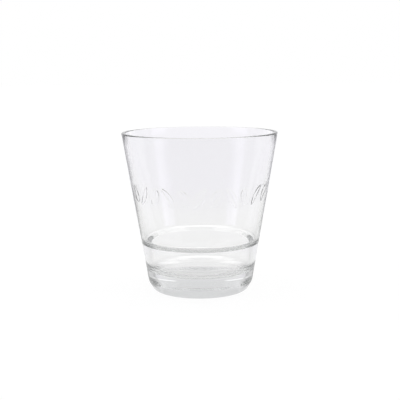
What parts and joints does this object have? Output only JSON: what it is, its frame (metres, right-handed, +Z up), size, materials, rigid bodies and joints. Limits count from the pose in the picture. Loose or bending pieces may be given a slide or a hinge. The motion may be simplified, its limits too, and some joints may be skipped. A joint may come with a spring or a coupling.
{
  "type": "glass tumbler",
  "caption": "Clear pressed-glass cappuccino tumbler: straight tapered wall, round lip, inner shoulder for stacking, thick base, and a low-relief leaf and bean frieze round the front.",
  "frame": {"origin": "centre of the base, on the table plane that the glass stands on", "axes": "+Z up along the glass's axis towards the rim, and the front with the frieze towards -Y"},
  "size_m": [0.0864, 0.0864, 0.088],
  "materials": {
    "clear_glass": "polished",
    "relief_leaf": "polished",
    "relief_bean": "polished"
  },
  "bodies": {
    "root": {"tumbler_body": "clear_glass", "relief_leaf_01": "relief_leaf", "relief_leaf_02": "relief_leaf", "relief_leaf_03": "relief_leaf", "relief_leaf_04": "relief_leaf", "relief_leaf_05": "relief_leaf", "relief_leaf_06": "relief_leaf", "relief_leaf_07": "relief_leaf", "relief_bean_01": "relief_bean", "relief_bean_02": "relief_bean", "relief_bean_03": "relief_bean", "relief_bean_04": "relief_bean", "relief_bean_05": "relief_bean", "relief_bean_06": "relief_bean"}
  },
  "joints": []
}
